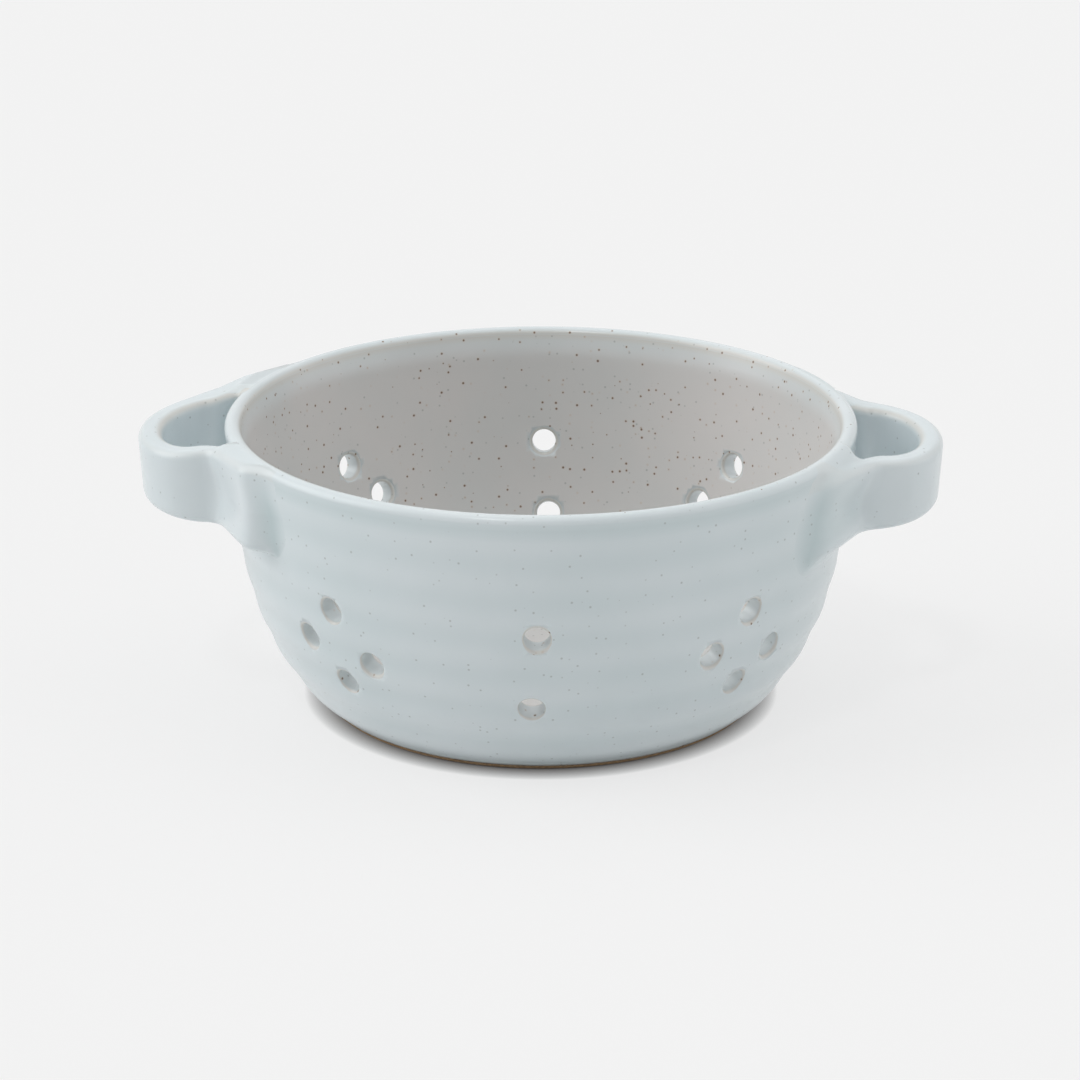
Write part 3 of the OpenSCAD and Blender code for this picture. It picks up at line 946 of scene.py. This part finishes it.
def glaze_material(finish):
    """Satin stoneware glaze over a speckled body: smooth, faintly cloudy and thin on every edge."""
    tree, shader = new_material("satin stoneware glaze")
    place = add(tree, "ShaderNodeTexCoord").outputs["Object"]
    marks = {
        label: add(tree, "ShaderNodeAttribute", attribute_name=label).outputs["Fac"]
        for label in ("inside", "thin", "pool")
    }
    # Inside, the skin takes the inner glaze, whose warm grey is partly painted warm reflection from berries
    skin = mixed(tree, marks["inside"], (*finish.glaze, 1), (*finish.inner, 1))

    # Clouds of thicker and thinner glaze, about 30 mm across, then hollows, darkened by pooled glaze and
    # painted shade, and worn edges
    cloud_share, pool_and_shade_share, thin_share = 0.24, 0.6, 0.35
    cloudy = ramp(tree, noise(tree, place, 30 * MM, 3.0), 0.15, 0.85, 0.0, cloud_share, "SMOOTHSTEP")
    skin = mixed(tree, cloudy, skin, (*finish.pooled, 1))
    # Grooves and joints take the pooled tint: partly glaze that gathers there, partly painted shade
    skin = mixed(tree, maths(tree, "MULTIPLY", marks["pool"], pool_and_shade_share), skin, (*finish.pooled, 1))
    skin = mixed(tree, maths(tree, "MULTIPLY", marks["thin"], thin_share), skin, (*finish.thin, 1))

    # Iron specks: each cell holds one, and its size depends on the cell's own chance. Spacing, largest
    # radius, share of the radius that fades, share of cells with a speck outside and inside, colour
    # and strength. The brown specks lie in the middle of the rust that shares their spacing.
    full_size = 0.4
    layers = (
        (1.9 * MM, 0.36 * MM, 0.70, 0.75, 0.75, finish.faint, 0.50),
        (1.7 * MM, 0.56 * MM, 1.00, 0.06, 0.65, finish.ochre, 0.50),
        (1.7 * MM, 0.32 * MM, 0.40, 0.06, 0.65, finish.speck, 0.80),
    )
    for spacing, radius, fade, outside, within, tint, strength in layers:
        cells = add(tree, "ShaderNodeTexVoronoi", {"Vector": place, "Scale": 1 / spacing})
        chance = add(tree, "ShaderNodeSeparateColor", {0: cells.outputs["Color"]}).outputs[0]
        share = ramp(tree, marks["inside"], 0.0, LIP_INSIDE, outside, within)
        size = ramp(tree, maths(tree, "SUBTRACT", share, chance), 0.0, full_size, 0.0, radius / spacing)
        dot = maths(tree, "SUBTRACT", size, cells.outputs["Distance"])
        spot = ramp(tree, dot, 0.0, fade * radius / spacing, 0.0, strength, "SMOOTHSTEP")
        skin = mixed(tree, spot, skin, (*tint, 1))
    tree.links.new(skin, shader.inputs["Base Color"])

    shader.inputs["Roughness"].default_value = 0.25
    shader.inputs["IOR"].default_value = 1.52
    # The fired surface is faintly dimpled, about 2 mm from dimple to dimple
    roughen(tree, shader, noise(tree, place, 2 * MM, 2.0), depth=0.1 * MM, strength=0.12)


def clay_material(finish):
    """Bare fired stoneware: matt, warm brown and gritty."""
    tree, shader = new_material("bare fired stoneware")
    place = add(tree, "ShaderNodeTexCoord").outputs["Object"]
    grit = noise(tree, place, 0.8 * MM, 4.0)
    darker = 0.6
    dark = [darker * c for c in finish.clay]
    tone = mixed(tree, ramp(tree, grit, 0.35, 0.7), (*dark, 1), (*finish.clay, 1))
    tree.links.new(tone, shader.inputs["Base Color"])
    tree.links.new(ramp(tree, grit, 0.3, 0.7, 0.8, 0.95), shader.inputs["Roughness"])
    roughen(tree, shader, grit, depth=0.15 * MM, strength=0.5)


def background_ray(tree):
    """One for a ray that shows the plain background: the camera's own, or one by way of gloss."""
    path = add(tree, "ShaderNodeLightPath").outputs
    shiny = maths(tree, "MAXIMUM", path["Is Glossy Ray"], path["Is Transmission Ray"])
    return maths(tree, "MAXIMUM", path["Is Camera Ray"], shiny)


def table_material(finish):
    """Plain pale table: matt, and seen a little lighter than it is, so that its shadow stays faint."""
    material = bpy.data.materials.new("pale matt table")
    tree = empty_nodes(material)
    paint = (*finish.floor, 1)
    plain_share = 0.78
    matt = add(tree, "ShaderNodeBsdfDiffuse", {"Color": paint}).outputs[0]
    # The plain part darkens only close to the bowl, where it stands on the table: a painted contact shadow
    painted_contact_shadow = add(tree, "ShaderNodeAmbientOcclusion", {"Distance": 4 * MM}).outputs["AO"]
    plain = add(tree, "ShaderNodeEmission", {"Color": paint, "Strength": painted_contact_shadow}).outputs[0]
    share = maths(tree, "MULTIPLY", background_ray(tree), plain_share)
    both = add(tree, "ShaderNodeMixShader", {0: share, 1: matt, 2: plain})
    add(tree, "ShaderNodeOutputMaterial", {"Surface": both.outputs[0]})
    return material


class BERRYBOWL_OT_materials(bpy.types.Operator):
    """Mix the glaze and the clay"""

    bl_idname = "berry_bowl.materials"
    bl_label = "Glaze and Clay"

    def execute(self, context):
        glaze_material(sizes().finish)
        clay_material(sizes().finish)
        return {"FINISHED"}


class BERRYBOWL_OT_bowl(bpy.types.Operator):
    """Throw the bowl and pierce its drain holes"""

    bl_idname = "berry_bowl.bowl"
    bl_label = "Thrown Bowl"

    def execute(self, context):
        bowl, holes = sizes().bowl, sizes().holes
        glaze = bpy.data.materials["satin stoneware glaze"]
        steps = 320
        streak = 9 * MM
        wall = turned("bowl_wall", wall_outline(bowl), steps, glaze, bowl.uneven, 1 / streak, seed=3.0)
        punch = turned("punch", punch_outline(holes, bowl.wall), 40, glaze)
        places = hole_places(bowl, holes)
        mesh = new_mesh("hole places", [middle for middle, _, _ in places])
        keep_with_points(mesh, "axis", [axis for _, axis, _ in places])
        keep_with_points(mesh, "stretch", [(1, 1, depth / bowl.wall) for _, _, depth in places])
        marked = placed("hole places", mesh)
        given = {"Places": marked, "Punch": punch, "Material": glaze}
        piece = grown(wall, perforated_tree(), given, "glazed_bowl")
        bpy.data.objects.remove(marked)
        bpy.data.objects.remove(punch)
        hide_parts("bowl")
        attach(piece, BODY)
        return {"FINISHED"}


class BERRYBOWL_OT_foot(bpy.types.Operator):
    """Turn the bare clay foot"""

    bl_idname = "berry_bowl.foot"
    bl_label = "Bare Foot"

    def execute(self, context):
        bowl = sizes().bowl
        soft = bowl.soft
        grain = 0.5 * MM
        low_z = between(soft, bowl.bare, grain)
        points = np.concatenate([
            arc((bowl.recess_r + soft, soft), soft, 180, 270, 5),
            arc((bowl.foot_r - soft, soft), soft, 270, 360, 5)[1:-1],
            np.stack([wall_radius(bowl, low_z), low_z], -1),
            [(bowl.recess_r, bowl.bare), (bowl.recess_r, soft)],
        ])
        outline = (points, np.zeros((len(points), 3)))
        piece = turned("bare_foot", outline, 240, bpy.data.materials["bare fired stoneware"])
        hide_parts("foot_ring")
        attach(piece, BODY)
        return {"FINISHED"}


class BERRYBOWL_OT_handles(bpy.types.Operator):
    """Pull both straps and press their ends onto the wall"""

    bl_idname = "berry_bowl.handles"
    bl_label = "Strap Handles"

    def execute(self, context):
        make_handle(-1, "left")
        make_handle(1, "right")
        return {"FINISHED"}


class BERRYBOWL_OT_stage(bpy.types.Operator):
    """Set the table, the light and the camera"""

    bl_idname = "berry_bowl.stage"
    bl_label = "Table, Light and Camera"

    def execute(self, context):
        scene = context.scene
        finish = sizes().finish
        half = 6.0
        corners = [(-half, -half, 0), (half, -half, 0), (half, half, 0), (-half, half, 0)]
        mesh = new_mesh("table", corners, [(0, 1, 2, 3)])
        mesh.materials.append(table_material(finish))
        table = placed("table", mesh)

        scene.world = bpy.data.worlds.new("plain studio")
        tree = empty_nodes(scene.world)
        dim = 0.3
        room = mixed(tree, background_ray(tree), (dim, dim, dim, 1), (*finish.floor, 1))
        sky = add(tree, "ShaderNodeBackground", {"Color": room, "Strength": 1.0})
        add(tree, "ShaderNodeOutputWorld", {"Surface": sky.outputs[0]})

        # Far lamps: heading from the front, height, strength and width, all but the strength in
        # degrees. A strength of 1 shows a white face that looks at the lamp as plain white.
        lamps = (
            ("overhead softbox", 0, 88, 0.16, 70),
            ("key lamp", -25, 60, 0.09, 8),
            ("soft window", -110, 48, 0.10, 70),
            ("low window", -90, 30, 0.36, 50),
            ("back softbox", 180, 55, 0.12, 60),
            ("right fill", 90, 33, 0.23, 70),
        )
        for name, heading, height, strength, width in lamps:
            lamp = bpy.data.lights.new(name, "SUN")
            lamp.energy = strength * math.pi
            lamp.angle = math.radians(width)
            turn, up = math.radians(heading), math.radians(height)
            source = Vector((math.sin(turn) * math.cos(up), -math.cos(turn) * math.cos(up), math.sin(up)))
            thing = placed(name, lamp)
            thing.rotation_mode = "QUATERNION"
            thing.rotation_quaternion = source.to_track_quat("Z", "Y")

        # The camera that lays the outline over the photo's: height, distance, aim and lens
        height = math.radians(19.77)
        distance = 0.8
        aim = Vector((-0.0002, 0, 0.03517))
        camera = bpy.data.cameras.new("camera")
        camera.lens = 118.8
        camera.sensor_width = 36
        camera.clip_start, camera.clip_end = 0.01, 50
        thing = placed("camera", camera)
        thing.location = aim + distance * Vector((0, -math.cos(height), math.sin(height)))
        thing.rotation_euler = (math.pi / 2 - height, 0, 0)
        scene.camera = thing
        scene.view_settings.view_transform = "Standard"
        return {"FINISHED"}


class BERRYBOWL_PT_panel(bpy.types.Panel):
    """Lists the sizes, colours and pieces of the bowl"""

    bl_label = "Berry Bowl"
    bl_idname = "BERRYBOWL_PT_panel"
    bl_space_type = "VIEW_3D"
    bl_region_type = "UI"
    bl_category = "Berry Bowl"

    def draw(self, context):
        for operator in OPERATORS:
            self.layout.operator(operator.bl_idname)
        for name in ("bowl", "holes", "straps", "finish"):
            group = getattr(context.scene.berry_bowl_sizes, name)
            box = self.layout.box()
            for key in group.__annotations__:
                box.prop(group, key)


class BerryBowlSizes(bpy.types.PropertyGroup):
    """Every size and colour of the bowl."""

    bowl: PointerProperty(type=BowlSizes)
    holes: PointerProperty(type=HoleSizes)
    straps: PointerProperty(type=HandleSizes)
    finish: PointerProperty(type=Finish)


OPERATORS = (
    BERRYBOWL_OT_materials,
    BERRYBOWL_OT_bowl,
    BERRYBOWL_OT_foot,
    BERRYBOWL_OT_handles,
    BERRYBOWL_OT_stage,
)
CLASSES = (BowlSizes, HoleSizes, HandleSizes, Finish, BerryBowlSizes, *OPERATORS, BERRYBOWL_PT_panel)


def register():
    """Adds the sizes, the operators and the panel to Blender."""
    for item in CLASSES:
        bpy.utils.register_class(item)
    bpy.types.Scene.berry_bowl_sizes = PointerProperty(type=BerryBowlSizes)


def unregister():
    """Takes them out again."""
    del bpy.types.Scene.berry_bowl_sizes
    for item in reversed(CLASSES):
        bpy.utils.unregister_class(item)


def main():
    """Builds the bowl on its stage."""
    register()
    bpy.ops.berry_bowl.materials()
    bpy.ops.berry_bowl.bowl()
    bpy.ops.berry_bowl.foot()
    bpy.ops.berry_bowl.handles()
    bpy.ops.berry_bowl.stage()


if __name__ == "__main__":
    main()
